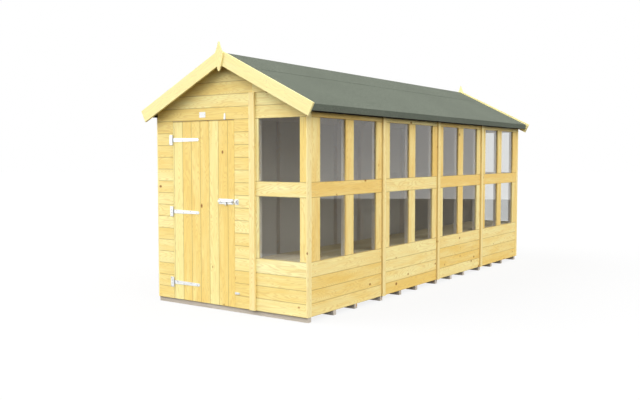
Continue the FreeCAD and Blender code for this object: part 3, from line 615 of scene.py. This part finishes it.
addNails("leftWallNails", "shed", [(toLeft, (-sideFace, y, z)) for y in studs for z in lowBoards])
addNails("rightWallNails", "shed", [(toRight, (sideFace, y, z)) for y in studs for z in sillBoards])
addNails("rightTrimNails", "shed",
         [(toRight, (sideFace, y + across, z + up)) for y in studs for across in nailLook["trimAcross"]
          for z in railMiddles for up in nailLook["trimUp"]])
addNails("frontWallNails", "shed",
         [(toFront, (-corner, -endFace, z)) for z in endBoards]
         + [(toFront, (hingePost, -endFace, z)) for z in besideHinges]
         + [(toFront, (latchPost, -endFace, z)) for z in besideLatch]
         + [(toFront, (corner, -endFace, z)) for z in windowBoards]
         + [(toFront, (0, -endFace, z)) for z in gableBoards])
addNails("backWallNails", "shed",
         [(toBack, (x, endFace, z)) for x in (-corner, backStud) for z in endBoards]
         + [(toBack, (corner, endFace, z)) for z in windowBoards]
         + [(toBack, (0, endFace, z)) for z in gableBoards])
addNails("stripNails", "shed",
         [(normal, (side * sideStrip, y, z)) for normal, side in bothSides
          for y in (-panel, 0, panel) for z in nailLook["stripHeights"]]
         + [(normal, (endJoint, end * endStrip, z)) for normal, end in bothEnds
            for z in nailLook["stripHeights"]])
addNails("bargeNails", "shed",
         [(normal, (side * x, end * ridgeFace, ridgeNails - fall * x + up))
          for normal, end in bothEnds for side in (-1, 1) for x in nailLook["bargeAcross"]
          for up in nailLook["bargeUp"]])
addNails("doorNails", "door",
         [(toFront, (x + across, -endFace, level + up)) for x in doorMiddles
          for across in nailLook["doorAcross"] for level in hinges for up in nailLook["ledgeUp"]])
print("nails driven")

# Pan-head screws of the ironmongery, with a round driver socket; millimetres.
screwLook = {
    "profile": ((0, 0.5), (1.1, 1.5), (1.9, 1.6), (2.8, 1.25), (3.4, 0.5), (3.5, -0.3), (0, -0.3)),
    "sides": 14,
    "leaf": ((8.8, -36), (8.8, 36), (20.8, -14), (20.8, 14)),     # in from the leaf's end, and up
    "strap": ((47, 7), (132, -6), (222, 6), (305, -5)),           # out from the pin, and up
    "hingeSteel": 2.5,
    "plateIn": 7,                                                 # from the ends of the bolt's plate
    "keepIn": 12.5,
    "boltUp": (-16, 16),
    "boltSteel": 2,
    "low": "#403F3B",
    "high": "#5A5853",
    "patch": 2.5,
    "detail": 2.0,
    "roughness": 0.5,
}


def screwHead():
    bm = bmesh.new()
    line = [bm.verts.new((r * mm, 0, z * mm)) for r, z in screwLook["profile"]]
    edges = [bm.edges.new(pair) for pair in zip(line, line[1:])]
    bmesh.ops.spin(bm, geom=line + edges, cent=(0, 0, 0), axis=(0, 0, 1), angle=2 * math.pi,
                   steps=screwLook["sides"], use_merge=True)
    bmesh.ops.remove_doubles(bm, verts=bm.verts[:], dist=0.01 * mm)
    mesh = bpy.data.meshes.new("screwHead")
    bm.to_mesh(mesh)
    bm.free()
    return mesh


panHead = screwHead()
dullScrews = fixingMaterial("dullZincScrews", screwLook)


def addScrews(name, body, places, size=1.0):
    bm = bmesh.new()
    for place in places:
        first = len(bm.verts)
        bm.from_mesh(panHead)
        bm.verts.ensure_lookup_table()
        bmesh.ops.transform(bm, matrix=facing(toFront, place) @ Matrix.Scale(size, 4), verts=bm.verts[first:])
    addPiece(name, bm, dullScrews, body)


hingeFace, boltFace = -endFace - screwLook["hingeSteel"], -endFace - screwLook["boltSteel"]
pinLow, pinHigh = boxOf("hinge_pins")
pinMiddle = (pinLow[0] + pinHigh[0]) / 2
boltEnds = boltLow[0] + screwLook["plateIn"], boltHigh[0] - screwLook["plateIn"]
keepEnd = boxOf("bolt_keep")[1][0] - screwLook["keepIn"]
addScrews("leafScrews", "shed", [(leafLow[0] + x, hingeFace, level + up) for level in hinges
                                 for x, up in screwLook["leaf"]])
addScrews("strapScrews", "door", [(pinMiddle + x, hingeFace, level + up) for level in hinges
                                  for x, up in screwLook["strap"]])
addScrews("boltScrews", "door", [(x, boltFace, boltLevel + up) for x in boltEnds
                                 for up in screwLook["boltUp"]])
addScrews("keepScrews", "shed", [(keepEnd, boltFace, boltLevel + up) for up in screwLook["boltUp"]])

# Bare plate over the door, in millimetres: rounded corners and a pressed border.
# White stove enamel on the plate: smooth, a little glossy, faintly uneven.
plateLook = {
    "aside": 0.5,         # from the middle of the door
    "overDoor": 54.5,
    "width": 77,
    "height": 51,
    "thickness": 1.5,
    "corner": 5,
    "edge": 0.3,
    "border": 4,
    "press": 0.4,
    "screwApart": 63,
    "screwSize": 0.6,
    "low": "#F1F1EE",
    "high": "#FAFAF8",
    "patch": 11,
    "detail": 2.0,
    "relief": 0.2,
    "bump": 0.1,
    "roughness": 0.3,
}


def enamelMaterial():
    material, add = newMaterial("whiteEnamelPlate")
    drift, colour = driftColour(add, plateLook)
    bump = add("Bump", {"Strength": plateLook["bump"], "Distance": plateLook["relief"] * mm},
               {"Height": drift})
    surface = add("BsdfPrincipled", {"Roughness": plateLook["roughness"]},
                  {"Base Color": colour, "Normal": bump})
    add("OutputMaterial", {}, {"Surface": surface})
    return material


def addPlate():
    look = plateLook
    size = Vector((look["width"], look["thickness"], look["height"])) * mm
    middle = Vector((plateX, -endFace, plateZ)) * mm - Vector((0, size.y / 2, 0))
    bm = bmesh.new()
    bmesh.ops.create_cube(bm, size=1.0, matrix=Matrix.Translation(middle) @ Matrix.Diagonal((*size, 1)))
    through = [e for e in bm.edges if abs(e.verts[0].co.y - e.verts[1].co.y) > size.y / 2]
    bmesh.ops.bevel(bm, geom=through, offset=look["corner"] * mm, segments=4, profile=0.5, affect="EDGES",
                    material=-1)
    bm.normal_update()
    front = [f for f in bm.faces if f.normal.y < -0.9]
    bmesh.ops.bevel(bm, geom=list(front[0].edges), offset=look["edge"] * mm, segments=2, profile=0.5,
                    affect="EDGES", material=-1)
    bm.normal_update()
    front = [f for f in bm.faces if f.normal.y < -0.99]
    bmesh.ops.inset_region(bm, faces=front, thickness=look["border"] * mm, depth=-look["press"] * mm)
    addPiece("bareDoorPlate", bm, enamelMaterial(), "shed")


plateX, plateZ = (doorLow[0] + doorHigh[0]) / 2 + plateLook["aside"], doorHigh[2] + plateLook["overDoor"]
plateFace = -endFace - plateLook["thickness"] + plateLook["press"]
addPlate()
addScrews("plateScrews", "shed", [(plateX + side * plateLook["screwApart"] / 2, plateFace, plateZ)
                                  for side in (-1, 1)], plateLook["screwSize"])
print("screws and plate fitted")

# Stage: a pale floor that the camera sees as white, with the shed's shadow on it; metres.
stageLook = {
    "floorRadius": 60.0,
    "floorDrop": 0.5 * mm,
    "floorColour": "#CACACA",
    "floorBounce": "#242424",    # what the shed gets back from the floor
    "whiteShare": 0.85,
    "cardRadius": 17.3,          # dark card on the ground at the glazed side
    "cardEdge": 1.0,
    "cardLift": 0.5 * mm,
    "cardColour": "#444444",
    "skyLight": 0.37,
}
# cards before the front, one for the mirror of each front pane: place in millimetres, size in metres
flagLooks = {
    "greyReflectionFlag": {"place": (-2040, -5840, 420), "size": (1.05, 0.84), "colour": "#BEBEBE"},
    "whiteReflectionFlag": {"place": (-2040, -5840, 1510), "size": (1.05, 1.0), "colour": "#FFFFFF"},
}
plainWhite = (1.0, 1.0, 1.0, 1.0)


def stagePiece(name, bm, material):
    item = meshObject(name, bm)
    item.data.materials.append(material)
    return item


def disc(radius, height):
    bm = bmesh.new()
    bmesh.ops.create_circle(bm, cap_ends=True, segments=96, radius=radius,
                            matrix=Matrix.Translation((0, 0, height)))
    return bm


def seenRays(add):
    # 1 for rays that show the background: straight, mirrored or through glass
    paths = add("LightPath")
    some = add("Math", {"operation": "MAXIMUM"},
               {0: paths.outputs["Is Camera Ray"], 1: paths.outputs["Is Glossy Ray"]})
    return add("Math", {"operation": "MAXIMUM"}, {0: some, 1: paths.outputs["Is Transmission Ray"]})


def floorMaterial():
    material, add = newMaterial("paleStudioFloor")
    matt = add("BsdfDiffuse", {"Color": hexColour(stageLook["floorColour"])})
    white = add("Emission", {"Strength": 1.0})
    seen = add("MixShader", {0: stageLook["whiteShare"]}, {1: matt, 2: white})
    bounce = add("BsdfDiffuse", {"Color": hexColour(stageLook["floorBounce"])})
    add("OutputMaterial", {}, {"Surface": add("MixShader", {}, {0: seenRays(add), 1: bounce, 2: seen})})
    return material


def cardMaterial(name, colour):
    material, add = newMaterial(name)
    matt = add("BsdfDiffuse", {"Color": hexColour(colour)})
    add("OutputMaterial", {}, {"Surface": matt})
    return material


stagePiece("studioFloor", disc(stageLook["floorRadius"], -stageLook["floorDrop"]), floorMaterial())

# cards that only the mirror of the panes and the metal shows
bm = disc(stageLook["cardRadius"], stageLook["cardLift"])
bmesh.ops.bisect_plane(bm, geom=bm.verts[:] + bm.edges[:] + bm.faces[:],
                       plane_co=(stageLook["cardEdge"], 0, 0), plane_no=(1, 0, 0), clear_inner=True)
cards = [stagePiece("darkReflectionCard", bm, cardMaterial("darkReflectionCard", stageLook["cardColour"]))]
for flagName, look in flagLooks.items():
    x, y, z = look["place"]
    bm = bmesh.new()
    bmesh.ops.create_grid(bm, x_segments=1, y_segments=1, size=0.5,
                          matrix=facing((-x, -y, 0), (x, y, z)) @ Matrix.Diagonal((*look["size"], 1, 1)))
    cards.append(stagePiece(flagName, bm, cardMaterial(flagName, look["colour"])))
for card in cards:
    card.visible_camera = card.visible_diffuse = card.visible_shadow = False

world = bpy.data.worlds.new("softStudio")
bpy.context.scene.world = world
world.use_nodes = True
world.node_tree.nodes.clear()
addSky = partial(addNode, world.node_tree)
lit = addSky("Background", {"Color": plainWhite, "Strength": stageLook["skyLight"]})
white = addSky("Background", {"Color": plainWhite, "Strength": 1.0})
skyMix = addSky("MixShader", {}, {0: seenRays(addSky), 1: lit, 2: white})
addSky("OutputWorld", {}, {"Surface": skyMix})

# Broad lamps: the key to the left of the door, a very wide one over the glazed side, a low one behind.
lampLooks = {
    "doorKey": {"strength": 3.55, "spread": 66, "toLamp": (-0.67, -0.47, 0.57), "mirrored": True},
    "glazedSideLight": {"strength": 3.2, "spread": 90, "toLamp": (0.70, -0.24, 0.71), "mirrored": False},
    "backLight": {"strength": 1.1, "spread": 60, "toLamp": (0.0, 0.91, 0.42), "mirrored": False},
}
for lampName, look in lampLooks.items():
    lamp = bpy.data.lights.new(lampName, "SUN")
    lamp.energy = look["strength"]
    lamp.angle = math.radians(look["spread"])
    lampItem = bpy.data.objects.new(lampName, lamp)
    lampItem.rotation_euler = Vector(look["toLamp"]).to_track_quat("Z", "Y").to_euler()
    lampItem.visible_glossy = lampItem.visible_transmission = look["mirrored"]
    bpy.context.scene.collection.objects.link(lampItem)

# Camera where the photograph was taken from, in metres and degrees; the lens in millimetres.
cameraLook = {"place": (4.5247, -7.4682, 1.3911), "yaw": 34.905, "down": 3.283, "lens": 42.20, "sensor": 36.0}
camera = bpy.data.cameras.new("photoCamera")
camera.sensor_fit = "HORIZONTAL"
camera.sensor_width = cameraLook["sensor"]
camera.lens = cameraLook["lens"]
cameraItem = bpy.data.objects.new("photoCamera", camera)
cameraItem.location = cameraLook["place"]
cameraItem.rotation_euler = (math.radians(90 - cameraLook["down"]), 0, math.radians(cameraLook["yaw"]))
bpy.context.scene.collection.objects.link(cameraItem)
bpy.context.scene.camera = cameraItem
bpy.context.scene.view_settings.view_transform = "Standard"
print("stage, light and camera ready")
